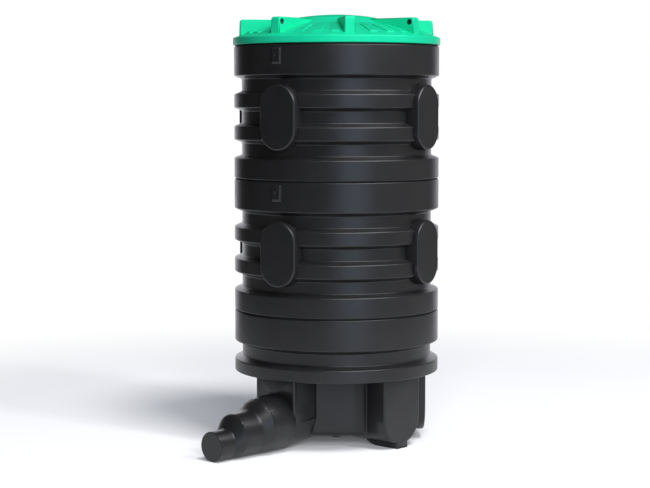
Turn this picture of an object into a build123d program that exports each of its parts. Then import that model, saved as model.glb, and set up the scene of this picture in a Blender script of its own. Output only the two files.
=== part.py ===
from build123d import *
import os
from math import atan2, cos, radians, sin, sqrt, tan

# A sewer distribution chamber: a plastic well of a base with flow channels, two
# shaft rings and a domed lid. All sizes are millimetres. The origin is on the
# shaft's axis at floor level, +Z is up and the outlet points along -Y. An angle
# round the well is counted from the outlet, -Y, towards +X.

# Driving dimensions of the shaft
OUTER_RADIUS = 390
GROOVE_RADIUS = 361
WALL = 9
MODULE_HEIGHT = 500
SEAL_HEIGHT = 5
SEAL_WIDTH = 3.5

# Corrugation of a ring, upwards from its lower edge, and the rise of a groove's sides
BAND_HEIGHT = 75
GROOVE_HEIGHT = 70
RIB_HEIGHT = 50
SIDE_RISE = 12

# Spigot that enters the collar below
SPIGOT_RADIUS = 376
SPIGOT_DEPTH = 60

# Flat pads on a ring, where pipes are let in
PAD_COUNT = 4
PAD_FIRST_ANGLE = 10.5
PAD_FACE = 405
PAD_WIDTH = 152
PAD_LENGTH = 240
PAD_DRAFT = 3
PAD_ROUNDING = 8

# Lugs on a ring's collar, each with a blind hole
LUG_ANGLES = (9, 189)
LUG_WIDTH = 40
LUG_LENGTH = 58
LUG_DRAFT = 12
LUG_FACE = 397
LUG_DROP = 40
LUG_HOLE_RADIUS = 5
LUG_HOLE_DEPTH = 5

# Base
FLANGE_BOTTOM = 268
FLANGE_TOP = 315
BASE_COLLAR_HEIGHT = 115
CHANNEL_FACE = 337
CHANNEL_RADIUS = 100
CHANNEL_ROUNDING = 8
OUTLET_ANGLE = 0
OUTLET_BOTTOM = 4
OUTLET_RISE = 36
LOW_INLET_ANGLES = (90, 180, 270)
LOW_INLET_BOTTOM = 15
HIGH_INLET_ANGLES = (135, 225)
HIGH_INLET_BOTTOM = 29

# Hub of the base; its arms run out below the low inlet channels, and the hub's own
# piece ends where HUB_END says
HUB_SIDES = 8
HUB_FACE = 224
HUB_BOTTOM = 41
HUB_ROUNDING = 24
HUB_END = 250
ARM_END = 325
ARM_ROUNDING = 26
BLEND_RADIUS = 70

# Keels that carry the well, under the low inlet channels, and a foot under the hub
KEEL_WIDTH = 58
KEEL_FLAT_START = 245
KEEL_START = 185
CENTRE_FOOT_RADIUS = 18

# Stepped outlet spigot: outer radius of each pipe size, and where each ends
STUB_WALL = 7
STUB_COLLAR_RADIUS = 103.5
STUB_COLLAR_END = 384
STUB_RADII = (100, 80, 55)
STUB_STARTS = (390, 482, 592)
STUB_ENDS = (435, 553, 655)
STUB_TIP = 660
TIP_ROUNDING = 4

# Lid
LID_RADIUS = 394
LID_WALL = 7
RIM_HEIGHT = 27
SHOULDER_RADIUS = 369
SHOULDER_HEIGHT = 36
DOME_RADIUS = 1100
BOSS_FOOT_RADIUS = 200
BOSS_FOOT_HEIGHT = 80
BOSS_RADIUS = 150
BOSS_HEIGHT = 104
BOSS_ROUNDING = 60
LID_HEIGHT = 116
SKIRT_DEPTH = 55
LID_GAP = 0.3

# Grip fins on the lid
FIN_COUNT = 8
FIN_FIRST_ANGLE = 5.5
FIN_WIDTH = 37
FIN_START = 150
FIN_END = 372
FIN_HEIGHT = 96
FIN_DRAFT = 2.4
FIN_ROUNDING = 5
FIN_END_ROUNDING = 10
FIN_HOLE_RADIUS = 10
FIN_HOLE_REACH = 351
FIN_HOLE_HEIGHT = 79

# Plane of the outlines that are turned round the axis, midway between two pads
SECTION_ANGLE = PAD_FIRST_ANGLE + 180 / PAD_COUNT

# Levels of the modules above the floor
RING_HEIGHT = MODULE_HEIGHT - SEAL_HEIGHT
RING_LEVELS = {"lower_ring": MODULE_HEIGHT + SEAL_HEIGHT, "upper_ring": 2 * MODULE_HEIGHT + SEAL_HEIGHT}
LID_LEVEL = 3 * MODULE_HEIGHT + SEAL_HEIGHT

# All channels of the base, in their order round it
INLET_ANGLES = tuple(sorted(LOW_INLET_ANGLES + HIGH_INLET_ANGLES))
CHANNEL_ANGLES = (OUTLET_ANGLE,) + INLET_ANGLES

os.makedirs("parts", exist_ok=True)


def direction(angle):
    """Unit vector of an angle round the well."""
    return (sin(radians(angle)), -cos(radians(angle)), 0)


def facing_plane(angle, reach):
    """Upright plane that faces outwards, its own y axis pointing up."""
    out = direction(angle)
    across = (cos(radians(angle)), sin(radians(angle)), 0)
    return Plane(origin=(out[0] * reach, out[1] * reach, 0), x_dir=across, z_dir=out)


def section_plane(angle):
    """Upright plane through the axis at an angle, for outlines of (radius, level)."""
    normal = (-cos(radians(angle)), -sin(radians(angle)), 0)
    return Plane(origin=(0, 0, 0), x_dir=direction(angle), z_dir=normal)


def write(builder, name):
    """Label a finished piece and write it out."""
    builder.part.label = name
    export_step(builder.part, f"parts/{name}.step")


def wall_line(levels, inset):
    """Points up a corrugated wall, wide and narrow by turns, set in by inset."""
    bend = atan2(OUTER_RADIUS - GROOVE_RADIUS, SIDE_RISE)
    shift = inset * tan(bend / 2)
    line = []
    wide = True
    for low, high in zip(levels, levels[1:]):
        radius = (OUTER_RADIUS if wide else GROOVE_RADIUS) - inset
        rise = shift if wide else SIDE_RISE - shift
        line += [(radius, low + rise), (radius, high - rise)]
        wide = not wide
    return line


def corrugation(base):
    """Levels of a ring's outer edges, from its lower edge to its top."""
    levels = [base, base + BAND_HEIGHT]
    for height in (GROOVE_HEIGHT, RIB_HEIGHT, GROOVE_HEIGHT, RIB_HEIGHT, GROOVE_HEIGHT):
        levels.append(levels[-1] + height)
    return levels + [base + RING_HEIGHT]


def turned(points, plane):
    """Solid made by turning a closed outline of (radius, level) points round the axis."""
    with BuildPart() as form:
        with BuildSketch(plane):
            with BuildLine():
                Polyline(*points, close=True)
            make_face()
        revolve(axis=Axis.Z)
    return form.part


def pad_form(angle, height, inset):
    """Solid outer form of a pad, or the hollow behind it where inset is the wall."""
    root = GROOVE_RADIUS - WALL
    reach = PAD_FACE - inset - root
    flare = 2 * reach * tan(radians(PAD_DRAFT))
    with BuildPart() as form:
        with BuildSketch(facing_plane(angle, root)):
            with Locations((0, height)):
                SlotOverall(PAD_LENGTH - 2 * inset + flare, PAD_WIDTH - 2 * inset + flare, rotation=90)
        extrude(amount=reach, taper=PAD_DRAFT)
        if not inset:
            face = form.faces().sort_by(Axis(origin=(0, 0, 0), direction=direction(angle)))[-1]
            fillet(face.edges(), PAD_ROUNDING)
    return form.part


# A ring: a corrugated tube with a plain spigot below and a collar on top. Two lugs
# stand on the collar, and four hollow pads are seated on the ribs and the grooves.
for ring, base in RING_LEVELS.items():
    outer = wall_line(corrugation(base), 0)
    inner = wall_line(corrugation(base), WALL)
    inner[0] = (inner[0][0], base + WALL)
    inner[-1] = (inner[-1][0], base + RING_HEIGHT)
    spigot_outer = [(SPIGOT_RADIUS, base - SPIGOT_DEPTH), (SPIGOT_RADIUS, base)]
    spigot_inner = [(SPIGOT_RADIUS - WALL, base + WALL), (SPIGOT_RADIUS - WALL, base - SPIGOT_DEPTH)]
    ring_plane = section_plane(SECTION_ANGLE)
    ring_wall = turned(spigot_outer + outer + inner[::-1] + spigot_inner, ring_plane)
    ring_core = turned([(0, base)] + outer + [(0, base + RING_HEIGHT)], ring_plane)

    lug_height = base + RING_HEIGHT - LUG_DROP
    with BuildPart() as shell:
        add(ring_wall)
        for angle in LUG_ANGLES:
            root = OUTER_RADIUS - WALL / 2
            with BuildSketch(facing_plane(angle, root)):
                with Locations((0, lug_height)):
                    Rectangle(LUG_WIDTH, LUG_LENGTH)
            extrude(amount=LUG_FACE - root, taper=LUG_DRAFT)
            with BuildSketch(facing_plane(angle, LUG_FACE)):
                with Locations((0, lug_height)):
                    Circle(LUG_HOLE_RADIUS)
            extrude(amount=-LUG_HOLE_DEPTH, mode=Mode.SUBTRACT)
    write(shell, f"{ring}_shell")

    pad_height = base + BAND_HEIGHT + 1.5 * GROOVE_HEIGHT + RIB_HEIGHT
    for number in range(PAD_COUNT):
        angle = PAD_FIRST_ANGLE + number * 360 / PAD_COUNT
        with BuildPart() as pad:
            add(pad_form(angle, pad_height, 0))
            add(pad_form(angle, pad_height, WALL), mode=Mode.SUBTRACT)
            add(ring_core, mode=Mode.SUBTRACT)
        write(pad, f"{ring}_pad_{number + 1}")


# Seals: rubber rings that lie on the inner edges of the collars' rims
for number, name in enumerate(("base_seal", "ring_seal", "lid_seal"), 1):
    gap = LID_GAP if name == "lid_seal" else 0
    with BuildPart() as seal:
        with BuildSketch(Plane.XY.offset(number * MODULE_HEIGHT)):
            Circle(OUTER_RADIUS - WALL + SEAL_WIDTH)
            Circle(OUTER_RADIUS - WALL, mode=Mode.SUBTRACT)
        extrude(amount=SEAL_HEIGHT - gap)
    write(seal, name)


# Base collar: flange, groove and the collar that takes the lower ring
collar_levels = [FLANGE_BOTTOM, FLANGE_TOP, MODULE_HEIGHT - BASE_COLLAR_HEIGHT, MODULE_HEIGHT]
collar_outer = wall_line(collar_levels, 0)
collar_inner = wall_line(collar_levels, WALL)
collar_inner[0] = (collar_inner[0][0], FLANGE_BOTTOM)
collar_inner[-1] = (collar_inner[-1][0], MODULE_HEIGHT)
with BuildPart() as base_collar:
    add(turned(collar_outer + collar_inner[::-1], section_plane(SECTION_ANGLE)))
write(base_collar, "base_collar")


# Base tray: an eight-sided hub with U-shaped channels that end in flat faces
def channel_form(angle, inset, top):
    """Solid of one channel from the axis out to its end face."""
    bottom = HIGH_INLET_BOTTOM if angle in HIGH_INLET_ANGLES else LOW_INLET_BOTTOM
    rise = 0
    if angle == OUTLET_ANGLE:
        bottom, rise = OUTLET_BOTTOM, OUTLET_RISE
    half = CHANNEL_RADIUS - inset
    with BuildPart() as form:
        for reach, level in ((CHANNEL_FACE - inset, bottom), (0, bottom + rise)):
            middle = level + CHANNEL_RADIUS
            with BuildSketch(facing_plane(angle, reach)):
                with Locations((0, middle)):
                    Circle(half)
                with Locations((0, (middle + top) / 2)):
                    Rectangle(2 * half, top - middle)
        loft(ruled=True)
        if not inset:
            face = form.faces().sort_by(Axis(origin=(0, 0, 0), direction=direction(angle)))[-1]
            fillet(face.edges().sort_by(Axis.Z)[:-1], CHANNEL_ROUNDING)
    return form.part


def hub_outline(inset, end):
    """Eight-sided plan of the hub, with arms that are blended into its two free sides."""
    half = CHANNEL_RADIUS - inset
    with BuildSketch() as outline:
        RegularPolygon(HUB_FACE - inset, HUB_SIDES, major_radius=False, rotation=180 / HUB_SIDES)
        for angle in LOW_INLET_ANGLES:
            out = direction(angle)
            with Locations((out[0] * end / 2, out[1] * end / 2)):
                Rectangle(end, 2 * half, rotation=angle - 90)
        front = [corner for corner in outline.vertices() if round(corner.Y + half) == 0]
        blended = [corner for corner in front if HUB_FACE / 2 < abs(corner.X) < HUB_FACE]
        fillet(blended, BLEND_RADIUS + inset)
    return outline.sketch


def tray_form(inset, top):
    """Hub and channels together, set in by inset, up to a level."""
    with BuildPart() as form:
        with BuildSketch(Plane.XY.offset(HUB_BOTTOM + inset)) as plan:
            add(hub_outline(inset, ARM_END - inset))
            ends = [corner for corner in plan.vertices() if max(abs(corner.X), corner.Y) > HUB_END]
            fillet(ends, ARM_ROUNDING - inset)
        extrude(amount=top - HUB_BOTTOM - inset)
        fillet(form.edges().group_by(Axis.Z)[0], HUB_ROUNDING - inset)
        add([channel_form(angle, inset, top) for angle in CHANNEL_ANGLES])
    return form.part


tray_outer = tray_form(0, FLANGE_BOTTOM)
tray_inner = tray_form(WALL, FLANGE_BOTTOM + 2 * WALL)

with BuildPart() as hub_region:
    with BuildSketch():
        add(hub_outline(0, HUB_END))
    extrude(amount=FLANGE_BOTTOM)

with BuildPart() as hub:
    add(tray_outer)
    add(tray_inner, mode=Mode.SUBTRACT)
    add(hub_region.part, mode=Mode.INTERSECT)
write(hub, "hub")


def sector_form(start, end):
    """Sector of the plan between two angles, as high as the tray."""
    reach = 2 * OUTER_RADIUS
    corners = [(direction(angle)[0] * reach, direction(angle)[1] * reach) for angle in (start, end)]
    with BuildPart() as form:
        with BuildSketch():
            with BuildLine():
                Polyline((0, 0), *corners, close=True)
            make_face()
        extrude(amount=FLANGE_BOTTOM)
    return form.part


# Each channel is what lies outside the hub, as far as halfway to its neighbours
with BuildPart() as outlet_hole:
    with BuildSketch(facing_plane(OUTLET_ANGLE, CHANNEL_FACE)):
        with Locations((0, STUB_COLLAR_RADIUS)):
            Circle(STUB_COLLAR_RADIUS)
    extrude(amount=-WALL)

for number, angle in enumerate(CHANNEL_ANGLES):
    previous = CHANNEL_ANGLES[number - 1] if angle != OUTLET_ANGLE else INLET_ANGLES[-1] - 360
    following = CHANNEL_ANGLES[number + 1] if angle != INLET_ANGLES[-1] else OUTLET_ANGLE + 360
    with BuildPart() as channel:
        add(tray_outer)
        add(tray_inner, mode=Mode.SUBTRACT)
        add(hub_region.part, mode=Mode.SUBTRACT)
        add(sector_form((previous + angle) / 2, (angle + following) / 2), mode=Mode.INTERSECT)
        if angle == OUTLET_ANGLE:
            add(outlet_hole.part, mode=Mode.SUBTRACT)
    write(channel, "outlet_channel" if angle == OUTLET_ANGLE else f"inlet_channel_{angle:03d}")


# Benching floor: the plate round the channels, inside the flange
with BuildPart() as bench:
    with BuildSketch(Plane.XY.offset(FLANGE_BOTTOM)):
        Circle(OUTER_RADIUS - WALL)
    extrude(amount=WALL)
    add(tray_inner, mode=Mode.SUBTRACT)
write(bench, "benching_floor")


# Keels: a flat foot below a low channel's end that curves up into the channel, and
# the round foot under the hub's middle
keel_top = LOW_INLET_BOTTOM + CHANNEL_ROUNDING
for angle in LOW_INLET_ANGLES:
    with BuildPart() as keel:
        with BuildSketch(section_plane(angle)):
            with BuildLine():
                Polyline((CHANNEL_FACE, keel_top), (CHANNEL_FACE, 0), (KEEL_FLAT_START, 0))
                TangentArc((KEEL_FLAT_START, 0), (KEEL_START, LOW_INLET_BOTTOM), tangent=(-1, 0))
                Polyline((KEEL_START, LOW_INLET_BOTTOM), (KEEL_START, keel_top), (CHANNEL_FACE, keel_top))
            make_face()
        extrude(amount=KEEL_WIDTH / 2, both=True)
        add(tray_outer, mode=Mode.SUBTRACT)
    write(keel, f"keel_{angle:03d}")

with BuildPart() as centre_foot:
    with BuildSketch():
        Circle(CENTRE_FOOT_RADIUS)
    extrude(amount=HUB_BOTTOM)
    add(tray_outer, mode=Mode.SUBTRACT)
write(centre_foot, "centre_foot")


# Stepped outlet: every size rests on the floor line, joined by slanting cones
def stub_form(stations, inset):
    """Solid through (reach, radius) stations along the outlet, all resting on the floor."""
    with BuildPart() as form:
        for near, far in zip(stations, stations[1:]):
            for reach, radius in (near, far):
                with BuildSketch(facing_plane(OUTLET_ANGLE, reach)):
                    with Locations((0, radius)):
                        Circle(radius - inset)
            loft(ruled=True)
    return form.part


stub_stations = [(CHANNEL_FACE - WALL, STUB_COLLAR_RADIUS), (STUB_COLLAR_END, STUB_COLLAR_RADIUS)]
for radius, start, end in zip(STUB_RADII, STUB_STARTS, STUB_ENDS):
    stub_stations += [(start, radius), (end, radius)]
stub_pieces = {
    "outlet_spigot_200": stub_stations[:4],
    "outlet_spigot_160": stub_stations[3:6],
    "outlet_spigot_110": stub_stations[5:],
}
for name, stations in stub_pieces.items():
    with BuildPart() as stage:
        add(stub_form(stations, 0))
        add(stub_form(stations, STUB_WALL), mode=Mode.SUBTRACT)
    write(stage, name)

tip_radius = STUB_RADII[-1]
with BuildPart() as outlet_end:
    with BuildSketch(facing_plane(OUTLET_ANGLE, STUB_ENDS[-1])):
        with Locations((0, tip_radius)):
            Circle(tip_radius)
    extrude(amount=STUB_TIP - STUB_ENDS[-1])
    fillet(outlet_end.edges().sort_by(Axis.Y)[0], TIP_ROUNDING)
write(outlet_end, "outlet_end")


# Lid: a shallow dome with a raised boss, a sloping shoulder and a skirt that
# enters the collar
def lid_top(drop):
    """Line of the lid's top from its shoulder to the axis, lowered by a drop."""
    level = LID_LEVEL - drop
    shoulder = (SHOULDER_RADIUS, level + SHOULDER_HEIGHT)
    boss_foot = (BOSS_FOOT_RADIUS, level + BOSS_FOOT_HEIGHT)
    boss_edge = (BOSS_RADIUS, level + BOSS_HEIGHT)
    rise = LID_HEIGHT - BOSS_HEIGHT
    cap_radius = (BOSS_RADIUS ** 2 + rise ** 2) / (2 * rise)
    RadiusArc(shoulder, boss_foot, -DOME_RADIUS)
    Line(boss_foot, boss_edge)
    RadiusArc(boss_edge, (0, level + LID_HEIGHT), -cap_radius)


def lid_section(bottom, side, drop):
    """Solid turned from the lid's top line, closed below by points and the axis."""
    with BuildPart() as form:
        with BuildSketch(section_plane(SECTION_ANGLE)) as section:
            with BuildLine():
                Polyline((0, bottom), *side, (SHOULDER_RADIUS, LID_LEVEL + SHOULDER_HEIGHT - drop))
                lid_top(drop)
                Line((0, LID_LEVEL + LID_HEIGHT - drop), (0, bottom))
            make_face()
            creases = [corner for corner in section.vertices() if 0 < round(corner.X) < SHOULDER_RADIUS]
            fillet(creases, BOSS_ROUNDING)
        revolve(axis=Axis.Z)
    return form.part


rim = [(LID_RADIUS, LID_LEVEL), (LID_RADIUS, LID_LEVEL + RIM_HEIGHT)]
lid_form = lid_section(LID_LEVEL, rim, 0)
skirt_bottom = LID_LEVEL - SKIRT_DEPTH
with BuildPart() as lid_cover:
    add(lid_form)
    with BuildSketch(Plane.XY.offset(skirt_bottom)):
        Circle(SPIGOT_RADIUS)
    extrude(amount=SKIRT_DEPTH)
    add(lid_section(skirt_bottom, [(SHOULDER_RADIUS, skirt_bottom)], LID_WALL), mode=Mode.SUBTRACT)
write(lid_cover, "lid_cover")

# Grip fins: upright radial blocks with draft, every other one with a lifting hole
for number in range(FIN_COUNT):
    angle = FIN_FIRST_ANGLE + number * 360 / FIN_COUNT
    across = (cos(radians(angle)), sin(radians(angle)), 0)
    plan = Plane(origin=(0, 0, LID_LEVEL), x_dir=direction(angle), z_dir=(0, 0, 1))
    side = Plane(origin=(0, 0, LID_LEVEL), x_dir=direction(angle), z_dir=across)
    flare = 2 * FIN_HEIGHT * tan(radians(FIN_DRAFT))
    with BuildPart() as fin:
        with BuildSketch(plan):
            with Locations(((FIN_START + FIN_END) / 2, 0)):
                Rectangle(FIN_END - FIN_START, FIN_WIDTH + flare)
        extrude(amount=FIN_HEIGHT, taper=FIN_DRAFT)
        outward = Axis(origin=(0, 0, 0), direction=direction(angle))
        fillet(fin.edges().group_by(Axis.Z)[-1].sort_by(outward)[-1], FIN_END_ROUNDING)
        fillet(fin.faces().sort_by(Axis.Z)[-1].edges(), FIN_ROUNDING)
        add(lid_form, mode=Mode.SUBTRACT)
        if number % 2 == 0:
            with BuildSketch(side):
                with Locations((FIN_HOLE_REACH, -FIN_HOLE_HEIGHT)):
                    Circle(FIN_HOLE_RADIUS)
            extrude(amount=FIN_WIDTH, both=True, mode=Mode.SUBTRACT)
    write(fin, f"lid_fin_{number + 1}")
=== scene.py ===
from math import cos, radians, sin

import bmesh
import bpy
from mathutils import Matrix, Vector
from mathutils.bvhtree import BVHTree


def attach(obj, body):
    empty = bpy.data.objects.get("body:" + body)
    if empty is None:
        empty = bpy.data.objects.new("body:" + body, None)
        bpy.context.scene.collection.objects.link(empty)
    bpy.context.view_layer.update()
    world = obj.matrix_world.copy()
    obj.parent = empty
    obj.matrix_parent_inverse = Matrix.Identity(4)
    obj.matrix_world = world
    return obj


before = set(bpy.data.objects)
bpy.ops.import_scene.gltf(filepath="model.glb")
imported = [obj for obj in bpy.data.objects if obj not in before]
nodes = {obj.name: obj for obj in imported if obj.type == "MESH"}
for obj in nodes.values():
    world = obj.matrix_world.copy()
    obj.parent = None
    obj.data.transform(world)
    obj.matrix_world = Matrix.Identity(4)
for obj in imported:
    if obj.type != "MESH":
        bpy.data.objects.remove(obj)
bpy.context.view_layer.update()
scene = bpy.context.scene

# Camera: a long lens at chest height, level with the upper ring, that looks slightly
# down at the quarter between the outlet and the first inlet. Angles round the well are
# counted from the outlet, -Y, towards +X.
IMAGE_WIDTH = 650
FOCAL_PIXELS = 1692.4
SENSOR_WIDTH = 36
CAMERA_ANGLE = 43
CAMERA_REACH = 6.481
CAMERA_HEIGHT = 1.299
CAMERA_PITCH = 4.866
CAMERA_PAN = 0.39
CAMERA_SIGHT = 200


def direction(angle, reach=1.0, level=0.0):
    """Point at an angle round the well, at a reach from its axis and a level."""
    return Vector((sin(radians(angle)) * reach, -cos(radians(angle)) * reach, level))


camera = bpy.data.objects.new("camera", bpy.data.cameras.new("camera"))
scene.collection.objects.link(camera)
camera.data.sensor_width = SENSOR_WIDTH
camera.data.lens = FOCAL_PIXELS * SENSOR_WIDTH / IMAGE_WIDTH
camera.data.clip_end = CAMERA_SIGHT
camera.location = direction(CAMERA_ANGLE, CAMERA_REACH, CAMERA_HEIGHT)
heading = CAMERA_ANGLE + 180 + CAMERA_PAN
gaze = direction(heading, cos(radians(CAMERA_PITCH)), -sin(radians(CAMERA_PITCH)))
camera.rotation_mode = "QUATERNION"
camera.rotation_quaternion = gaze.to_track_quat("-Z", "Y")
scene.camera = camera
scene.view_settings.view_transform = "Standard"


# Studio floor and background: a white world that lights softly, and a pale floor that
# keeps the shadow and turns into the white background further away. The floor throws
# no light back, so that the underside of the well stays dark.
WORLD_LIGHT = (0.22, 0.23, 0.26, 1)
WHITE = (1, 1, 1, 1)
FLOOR_COLOUR = (0.94, 0.95, 0.97, 1)
FLOOR_HALF = 40.0
FLOOR_NEAR = 1.6
FLOOR_FAR = 3.4
FLOOR_LIFT = 0.06


class Shade:
    """An output of a shader node. Arithmetic on it adds Math nodes beside it."""

    def __init__(self, finish, output):
        self.finish = finish
        self.output = output

    def maths(self, operation, first, second):
        return self.finish.node("ShaderNodeMath", {"operation": operation}, {0: first, 1: second})

    def __add__(self, other):
        return self.maths("ADD", self, other)

    def __radd__(self, other):
        return self.maths("ADD", other, self)

    def __sub__(self, other):
        return self.maths("SUBTRACT", self, other)

    def __rsub__(self, other):
        return self.maths("SUBTRACT", other, self)

    def __mul__(self, other):
        return self.maths("MULTIPLY", self, other)

    def __rmul__(self, other):
        return self.maths("MULTIPLY", other, self)


class Finish:
    """The node tree of a material or of the world, built node by node."""

    def __init__(self, owner):
        owner.use_nodes = True
        self.owner = owner
        self.tree = owner.node_tree
        self.tree.nodes.clear()

    def node(self, kind, settings, inputs, output=0):
        """Add a node: its settings first, then the values or links of its sockets."""
        made = self.tree.nodes.new(kind)
        for name, value in settings.items():
            if name == "stops":
                for element, (position, colour) in zip(made.color_ramp.elements, value):
                    element.position = position
                    element.color = colour
            else:
                setattr(made, name, value)
        for name, value in inputs.items():
            socket = made.inputs[name]
            if isinstance(value, Shade):
                self.tree.links.new(value.output, socket)
            else:
                socket.default_value = value
        return Shade(self, made.outputs[output]) if made.outputs else None

    def place(self):
        """Place on the object, which turns and moves with it."""
        return self.node("ShaderNodeTexCoord", {}, {}, "Object")

    def vector(self, operation, inputs, output=0):
        return self.node("ShaderNodeVectorMath", {"operation": operation}, inputs, output)

    def blend(self, value, start, end):
        """0 at the start value and 1 at the end value, with a soft change between them."""
        return self.node("ShaderNodeMapRange", {"interpolation_type": "SMOOTHSTEP"},
                         {"Value": value, "From Min": start, "From Max": end})

    def seen_directly(self):
        """1 on rays from the camera, in gloss and through glass, and 0 on rays that light."""
        camera_ray, glossy_ray, clear_ray = [
            self.node("ShaderNodeLightPath", {}, {}, f"Is {kind} Ray")
            for kind in ("Camera", "Glossy", "Transmission")
        ]
        mirrored = glossy_ray.maths("MAXIMUM", glossy_ray, clear_ray)
        return camera_ray.maths("MAXIMUM", camera_ray, mirrored)


world = Finish(bpy.data.worlds.new("studio"))
scene.world = world.owner
dim = world.node("ShaderNodeBackground", {}, {"Color": WORLD_LIGHT, "Strength": 1.0})
bright = world.node("ShaderNodeBackground", {}, {"Color": WHITE, "Strength": 1.0})
sky = world.node("ShaderNodeMixShader", {}, {0: world.seen_directly(), 1: dim, 2: bright})
world.node("ShaderNodeOutputWorld", {}, {"Surface": sky})

floor_finish = Finish(bpy.data.materials.new("studio_floor"))
reach = floor_finish.vector("LENGTH", {0: floor_finish.place()}, "Value")
fade = floor_finish.blend(reach, FLOOR_NEAR, FLOOR_FAR)
card = floor_finish.node("ShaderNodeBsdfDiffuse", {}, {"Color": FLOOR_COLOUR})
glow = floor_finish.node("ShaderNodeEmission", {}, {"Color": WHITE, "Strength": 1.0})
factor = (FLOOR_LIFT + (1 - FLOOR_LIFT) * fade) * floor_finish.seen_directly()
surface = floor_finish.node("ShaderNodeMixShader", {}, {0: factor, 1: card, 2: glow})
floor_finish.node("ShaderNodeOutputMaterial", {}, {"Surface": surface})

floor_mesh = bpy.data.meshes.new("studio_floor")
corners = [(x * FLOOR_HALF, y * FLOOR_HALF, 0) for x, y in ((-1, -1), (1, -1), (1, 1), (-1, 1))]
floor_mesh.from_pydata(corners, [], [(0, 1, 2, 3)])
floor_mesh.materials.append(floor_finish.owner)
floor = bpy.data.objects.new("studio_floor", floor_mesh)
scene.collection.objects.link(floor)
floor.visible_diffuse = False


# Studio lamps: a high key light, a lower side light that draws the long shadow, and a
# broad fill that lights the well alone. Key and fill have a twin that lights the floor
# alone, so that the black plastic and the shadow are each lit as they need.
LAMP_AIM = 0.8
FAR = 14.0
NEAR = 12.0
KEY_COLOUR = (1.0, 0.99, 0.98)
FILL_COLOUR = (0.98, 0.99, 1.0)
FLOOR_FILL_COLOUR = (0.97, 0.985, 1.0)

# Each lamp: angle from the camera, elevation, distance, size, power, colour and what it
# lights, where nothing means everything.
LAMPS = {
    "key": (34, 63, FAR, (3.4, 4.0), 760, KEY_COLOUR, ()),
    "floor_key": (34, 63, FAR, (3.4, 4.0), 590, KEY_COLOUR, (floor,)),
    "side": (51, 37, FAR, (1.6, 3.0), 430, KEY_COLOUR, ()),
    "fill": (18, 16, NEAR, (5.0, 5.0), 1130, FILL_COLOUR, nodes.values()),
    "floor_fill": (3, 16, NEAR, (5.0, 5.0), 980, FLOOR_FILL_COLOUR, (floor,)),
}


def softbox(name, angle, elevation, distance, size, power, colour, lit):
    """Area light that faces the well's middle, and may light only some objects."""
    light = bpy.data.lights.new(name, "AREA")
    light.shape = "RECTANGLE"
    light.size, light.size_y = size
    light.energy = power
    light.color = colour
    lamp = bpy.data.objects.new(name, light)
    scene.collection.objects.link(lamp)
    away = direction(CAMERA_ANGLE + angle, cos(radians(elevation)), sin(radians(elevation)))
    lamp.location = Vector((0, 0, LAMP_AIM)) + away * distance
    lamp.rotation_mode = "QUATERNION"
    lamp.rotation_quaternion = (-away).to_track_quat("-Z", "Y")
    lamp.visible_glossy = False
    if lit:
        receivers = bpy.data.collections.new(f"{name}_receivers")
        lamp.light_linking.receiver_collection = receivers
        for piece in lit:
            receivers.objects.link(piece)
    return lamp


lamps = {name: softbox(name, *values) for name, values in LAMPS.items()}


# Studio tent: a dark round screen with lit strips that only the gloss of the well
# reflects, so that the black plastic keeps its depth.
TENT_RADIUS = 3.0
TENT_SEGMENTS = 48
TENT_RINGS = 24
TENT_DARK = 0.05
TENT_BLUR = 0.2

# Each strip: angle from the camera, half width where it is full and where it has ended,
# bottom, top and colour.
TENT_STRIPS = (
    (17, 4, 19, -3.0, 1.9, (1.10, 1.35, 1.80)),
    (72, 20, 60, -3.0, 1.9, (0.32, 0.32, 0.32)),
    (162, 18, 30, -3.0, 1.9, (1.3, 1.3, 1.4)),
    (-166, 14, 32, -3.0, 1.9, (1.7, 1.7, 1.8)),
    (38, 22, 52, 2.1, 2.95, (7.5, 7.5, 7.8)),
)

tent_finish = Finish(bpy.data.materials.new("studio_tent"))
place = tent_finish.place()
level_place = tent_finish.vector("MULTIPLY", {0: place, 1: (1, 1, 0)})
bearing = tent_finish.vector("NORMALIZE", {0: level_place})
height = tent_finish.node("ShaderNodeSeparateXYZ", {}, {0: place}, "Z")
shine = (TENT_DARK, TENT_DARK, TENT_DARK)
for angle, inner, outer, bottom, top, colour in TENT_STRIPS:
    middle = direction(CAMERA_ANGLE + angle)
    along = tent_finish.vector("DOT_PRODUCT", {0: bearing, 1: middle}, "Value")
    strip = tent_finish.blend(along, cos(radians(outer)), cos(radians(inner)))
    above = tent_finish.blend(height, bottom, bottom + TENT_BLUR)
    below = tent_finish.blend(height, top, top - TENT_BLUR)
    lit = tent_finish.vector("SCALE", {0: colour, "Scale": strip * above * below})
    shine = tent_finish.vector("ADD", {0: shine, 1: lit})
tent_glow = tent_finish.node("ShaderNodeEmission", {}, {"Color": shine, "Strength": 1.0})
tent_finish.node("ShaderNodeOutputMaterial", {}, {"Surface": tent_glow})
tent_finish.owner.cycles.emission_sampling = "NONE"

tent_mesh = bpy.data.meshes.new("studio_tent")
sphere = bmesh.new()
bmesh.ops.create_uvsphere(sphere, u_segments=TENT_SEGMENTS, v_segments=TENT_RINGS, radius=TENT_RADIUS)
sphere.to_mesh(tent_mesh)
sphere.free()
tent_mesh.materials.append(tent_finish.owner)
tent = bpy.data.objects.new("studio_tent", tent_mesh)
scene.collection.objects.link(tent)
for kind in ("camera", "diffuse", "shadow", "transmission", "volume_scatter"):
    setattr(tent, f"visible_{kind}", False)


# Base: a tray with a hub and U-shaped channels, a plate round them and a collar, all
# moulded in one of black polyethylene. The powder melts in a turning mould, which
# leaves a satin skin with a faint ripple and a fine grain.
BLACK_LOW = (0.0100, 0.0100, 0.0105, 1)
BLACK_HIGH = (0.0145, 0.0145, 0.0150, 1)
BLACK_ROUGHNESS = 0.36
BLACK_GLOSS = 0.45

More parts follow.
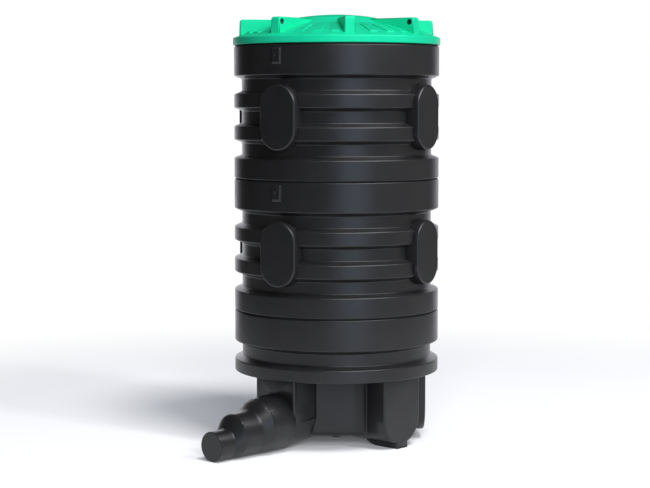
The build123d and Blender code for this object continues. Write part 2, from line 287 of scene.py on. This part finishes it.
MOTTLE = {"Scale": 9.0, "Detail": 4.0, "Roughness": 0.6}
MOTTLE_LOW = 0.3
MOTTLE_HIGH = 0.7
SMEAR = {"Scale": 23.0, "Detail": 3.0, "Roughness": 0.5}
SMEAR_DEPTH = 0.10
RIPPLE = {"Scale": 14.0, "Detail": 2.0}
RIPPLE_HEIGHT = {"Strength": 0.2, "Distance": 0.0014}
GRAIN = {"Scale": 420.0, "Detail": 2.0}
GRAIN_HEIGHT = {"Strength": 0.12, "Distance": 0.0003}

CREASE_ANGLE = 20
WELD_DISTANCE = 0.00001
FLAT_ANGLE = 0.5
ROUNDING_ANGLE = 25
ROUNDING_STEPS = 3
COLLAR_ROUNDING = 0.004


def moulded_finish(name, low, high, roughness, gloss, painted_shade=None):
    """Satin moulded plastic: mottled colour, uneven gloss, a ripple and a fine grain.

    A painted shade, where given, darkens the colour at some places: it takes the finish, the place
    and the colour.
    """
    finish = Finish(bpy.data.materials.new(name))
    place = finish.place()
    mottle, smear, ripple, grain = [
        finish.node("ShaderNodeTexNoise", {}, {"Vector": place, **pattern})
        for pattern in (MOTTLE, SMEAR, RIPPLE, GRAIN)
    ]
    stops = [(MOTTLE_LOW, low), (MOTTLE_HIGH, high)]
    colour = finish.node("ShaderNodeValToRGB", {"stops": stops}, {"Fac": mottle})
    # A painted shade, where given, darkens the colour at some places.
    if painted_shade:
        colour = painted_shade(finish, place, colour)
    rippled = finish.node("ShaderNodeBump", {}, {**RIPPLE_HEIGHT, "Height": ripple})
    grained = finish.node("ShaderNodeBump", {}, {**GRAIN_HEIGHT, "Height": grain, "Normal": rippled})
    plastic = finish.node("ShaderNodeBsdfPrincipled", {}, {
        "Base Color": colour,
        "Roughness": roughness + (smear - 0.5) * SMEAR_DEPTH,
        "Specular IOR Level": gloss,
        "Normal": grained,
    })
    finish.node("ShaderNodeOutputMaterial", {}, {"Surface": plastic})
    return finish.owner


def dress(name, material, rounding=0.0, flat=False):
    """Give a piece its material and smooth shading, and join its flats or round its edges."""
    piece = nodes[name]
    piece.data.materials.clear()
    piece.data.materials.append(material)
    piece.data.shade_smooth()
    piece.data.set_sharp_from_angle(angle=radians(CREASE_ANGLE))
    weld = piece.modifiers.new("weld", "WELD")
    weld.merge_threshold = WELD_DISTANCE
    if rounding or flat:
        flats = piece.modifiers.new("flats", "DECIMATE")
        flats.decimate_type = "DISSOLVE"
        flats.angle_limit = radians(FLAT_ANGLE)
    if rounding:
        bevel = piece.modifiers.new("rounding", "BEVEL")
        bevel.width = rounding
        bevel.segments = ROUNDING_STEPS
        bevel.limit_method = "ANGLE"
        bevel.angle_limit = radians(ROUNDING_ANGLE)
        bevel.use_clamp_overlap = False
        bevel.harden_normals = True
    normals = piece.modifiers.new("normals", "WEIGHTED_NORMAL")
    normals.keep_sharp = True


black = moulded_finish("black_polyethylene", BLACK_LOW, BLACK_HIGH, BLACK_ROUGHNESS, BLACK_GLOSS)
for name in sorted(nodes):
    if name.startswith(("hub", "outlet", "inlet", "keel", "centre", "benching")):
        dress(name, black)
dress("base_collar", black, COLLAR_ROUNDING)


# Rings: two like corrugated tubes of the same black moulding, stacked on the base. Flat
# pads stand out from their ribs, where pipes are let in, and two small lugs with a hole
# sit on each collar.
RINGS = ("lower_ring", "upper_ring")
PAD_COUNT = 4
RING_ROUNDING = 0.004

for ring in RINGS:
    dress(f"{ring}_shell", black, RING_ROUNDING)
    for number in range(1, PAD_COUNT + 1):
        dress(f"{ring}_pad_{number}", black)


# Seals: rings of black rubber in the joints between the base, the rings and the lid.
# Each lies in its joint and is pressed flat by what stands on it.
RUBBER_LOW = (0.006, 0.006, 0.006, 1)
RUBBER_HIGH = (0.010, 0.010, 0.010, 1)
RUBBER_ROUGHNESS = 0.6
RUBBER_GLOSS = 0.3

rubber = moulded_finish("seal_rubber", RUBBER_LOW, RUBBER_HIGH, RUBBER_ROUGHNESS, RUBBER_GLOSS)
for name in ("base_seal", "ring_seal", "lid_seal"):
    dress(name, rubber)


# Lid: a dome of green polyethylene with a rim that lies on the upper seal. Its eight
# fins are moulded on, as hand grips, and half of them have a hole for a lifting bar.
# The walls of these holes get painted shade, dark green, for the hollow inside the fin.
GREEN_LOW = (0.004, 0.56, 0.29, 1)
GREEN_HIGH = (0.006, 0.63, 0.33, 1)
GREEN_ROUGHNESS = 0.40
GREEN_GLOSS = 0.30
LID_ROUNDING = 0.004
FIN_COUNT = 8

# Painted shade in the fins' holes: where the holes lie, their radius, and the dark colour painted on
# their walls.
BORE_REACH = 0.351
BORE_LEVEL = 1.584
BORE_RADIUS = 0.0106
BORE_SHADE_COLOUR = (0.002, 0.06, 0.03, 1)

# Sockets of a Mix node that blends two colours.
MIX_FACTOR = 0
MIX_FIRST = 6
MIX_SECOND = 7
MIX_RESULT = 2


def paint_bore_shade(finish, place, colour):
    """Paint shade on the walls of the fins' holes, which lie at one reach and level."""
    flat_place = finish.vector("MULTIPLY", {0: place, 1: (1, 1, 0)})
    across = finish.vector("LENGTH", {0: flat_place}, "Value") - BORE_REACH
    above = finish.node("ShaderNodeSeparateXYZ", {}, {0: place}, "Z") - BORE_LEVEL
    square = across * across + above * above
    inside = square.maths("LESS_THAN", square, BORE_RADIUS * BORE_RADIUS)
    sides = {MIX_FACTOR: inside, MIX_FIRST: colour, MIX_SECOND: BORE_SHADE_COLOUR}
    return finish.node("ShaderNodeMix", {"data_type": "RGBA"}, sides, MIX_RESULT)


green_look = (GREEN_LOW, GREEN_HIGH, GREEN_ROUGHNESS, GREEN_GLOSS)
green = moulded_finish("green_polyethylene", *green_look)
# Fins with a hole get a green with painted shade on the walls of the hole.
bore_shaded_green = moulded_finish("green_bore_shade", *green_look, paint_bore_shade)
dress("lid_cover", green, LID_ROUNDING)
for number in range(1, FIN_COUNT + 1):
    has_hole = number % 2 == 1
    dress(f"lid_fin_{number}", bore_shaded_green if has_hole else green, flat=True)


# Tread bars: low radial ribs of the lid's own green polyethylene, three between each two
# fins, so that a foot doesn't slip. They are moulded in one with the lid.
FIN_FIRST_ANGLE = 5.5
BAR_OFFSETS = (14.8, 25.8, 36.8)
BAR_START = 0.255
BAR_END = 0.358
BAR_SPREAD = 5.0
BAR_HEIGHT = 0.0045
BAR_ROOT = 0.002
BAR_STEPS = 10
BAR_ROUNDING = 0.0015
BAR_ROUNDING_STEPS = 2
BAR_ROUNDING_ANGLE = 40
OVER_LID = 2.0
DOWN = Vector((0, 0, -1))

lid_mesh = nodes["lid_cover"].data
lid_surface = BVHTree.FromPolygons([corner.co for corner in lid_mesh.vertices],
                                   [face.vertices[:] for face in lid_mesh.polygons])


def lid_point(angle, reach, rise):
    """Point above the lid's surface at an angle and a reach from the axis."""
    met = lid_surface.ray_cast(direction(angle, reach, OVER_LID), DOWN)[0]
    return met + Vector((0, 0, rise))


def add_bar(bars, angle):
    """One bar: a strip of four-sided sections along the lid's slope, closed at its ends."""
    left = angle - BAR_SPREAD / 2
    right = angle + BAR_SPREAD / 2
    sections = []
    for step in range(BAR_STEPS + 1):
        reach = BAR_START + (BAR_END - BAR_START) * step / BAR_STEPS
        corners = [lid_point(left, reach, -BAR_ROOT), lid_point(right, reach, -BAR_ROOT),
                   lid_point(right, reach, BAR_HEIGHT), lid_point(left, reach, BAR_HEIGHT)]
        sections.append([bars.verts.new(corner) for corner in corners])
    for near, far in zip(sections, sections[1:]):
        for side in range(4):
            following = (side + 1) % 4
            bars.faces.new((near[side], far[side], far[following], near[following]))
    bars.faces.new(sections[0])
    bars.faces.new(sections[-1][::-1])


bars = bmesh.new()
for fin in range(FIN_COUNT):
    for offset in BAR_OFFSETS:
        add_bar(bars, FIN_FIRST_ANGLE + fin * 360 / FIN_COUNT + offset)
bmesh.ops.recalc_face_normals(bars, faces=bars.faces)
bar_mesh = bpy.data.meshes.new("tread_bars")
bars.to_mesh(bar_mesh)
bars.free()
bar_mesh.materials.append(green)
bar_mesh.shade_smooth()
bar_mesh.set_sharp_from_angle(angle=radians(CREASE_ANGLE))
tread_bars = bpy.data.objects.new("tread_bars", bar_mesh)
scene.collection.objects.link(tread_bars)
bevel = tread_bars.modifiers.new("rounding", "BEVEL")
bevel.width = BAR_ROUNDING
bevel.segments = BAR_ROUNDING_STEPS
bevel.limit_method = "ANGLE"
bevel.angle_limit = radians(BAR_ROUNDING_ANGLE)
lamps["fill"].light_linking.receiver_collection.objects.link(tread_bars)
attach(tread_bars, "lid")
